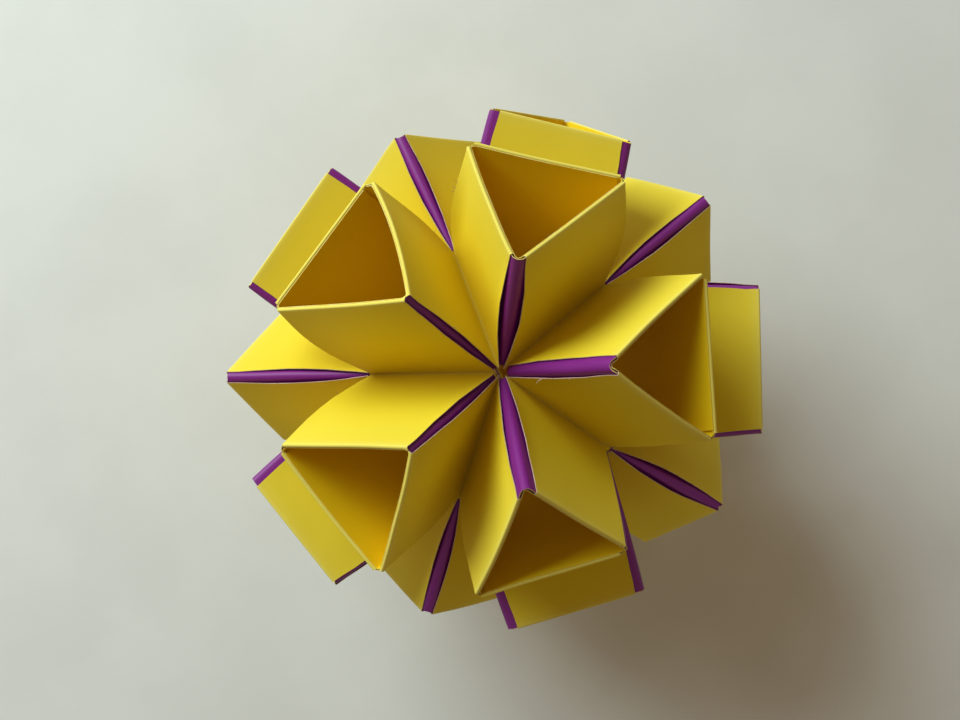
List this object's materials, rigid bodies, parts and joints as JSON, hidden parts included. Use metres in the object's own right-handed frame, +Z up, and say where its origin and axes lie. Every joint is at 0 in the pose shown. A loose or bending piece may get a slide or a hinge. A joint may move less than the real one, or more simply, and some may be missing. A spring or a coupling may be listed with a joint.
{
  "type": "kusudama paper ball",
  "caption": "Decorative ball of folded two-sided paper: open triangular tubes stand out all round, joined by V-folded hinge strips, with a second colour showing at the corners.",
  "frame": {"origin": "on the surface that the ball stands on, under the ball's centre", "axes": "+Z up along the five-fold axis through the crown pit, -X towards the pit between two crown tubes"},
  "size_m": [0.0942, 0.09, 0.0892],
  "materials": {
    "tube_paper": "smooth matte",
    "hinge_paper": "smooth matte"
  },
  "bodies": {
    "root": {"crown_tube_1": "tube_paper", "crown_tube_2": "tube_paper", "crown_tube_3": "tube_paper", "crown_tube_4": "tube_paper", "crown_tube_5": "tube_paper", "upper_belt_tube_1": "tube_paper", "upper_belt_tube_2": "tube_paper", "upper_belt_tube_3": "tube_paper", "upper_belt_tube_4": "tube_paper", "upper_belt_tube_5": "tube_paper", "lower_belt_tube_1": "tube_paper", "lower_belt_tube_2": "tube_paper", "lower_belt_tube_3": "tube_paper", "lower_belt_tube_4": "tube_paper", "lower_belt_tube_5": "tube_paper", "base_tube_1": "tube_paper", "base_tube_2": "tube_paper", "base_tube_3": "tube_paper", "base_tube_4": "tube_paper", "base_tube_5": "tube_paper", "crown_hinge_1": "hinge_paper", "crown_hinge_2": "hinge_paper", "crown_hinge_3": "hinge_paper", "crown_hinge_4": "hinge_paper", "crown_hinge_5": "hinge_paper", "upper_ring_hinge_1": "hinge_paper", "upper_ring_hinge_2": "hinge_paper", "upper_ring_hinge_3": "hinge_paper", "upper_ring_hinge_4": "hinge_paper", "upper_ring_hinge_5": "hinge_paper", "zigzag_hinge_1": "hinge_paper", "zigzag_hinge_2": "hinge_paper", "zigzag_hinge_3": "hinge_paper", "zigzag_hinge_4": "hinge_paper", "zigzag_hinge_5": "hinge_paper", "zigzag_hinge_6": "hinge_paper", "zigzag_hinge_7": "hinge_paper", "zigzag_hinge_8": "hinge_paper", "zigzag_hinge_9": "hinge_paper", "zigzag_hinge_10": "hinge_paper", "lower_ring_hinge_1": "hinge_paper", "lower_ring_hinge_2": "hinge_paper", "lower_ring_hinge_3": "hinge_paper", "lower_ring_hinge_4": "hinge_paper", "lower_ring_hinge_5": "hinge_paper", "base_hinge_1": "hinge_paper", "base_hinge_2": "hinge_paper", "base_hinge_3": "hinge_paper", "base_hinge_4": "hinge_paper", "base_hinge_5": "hinge_paper"}
  },
  "joints": []
}
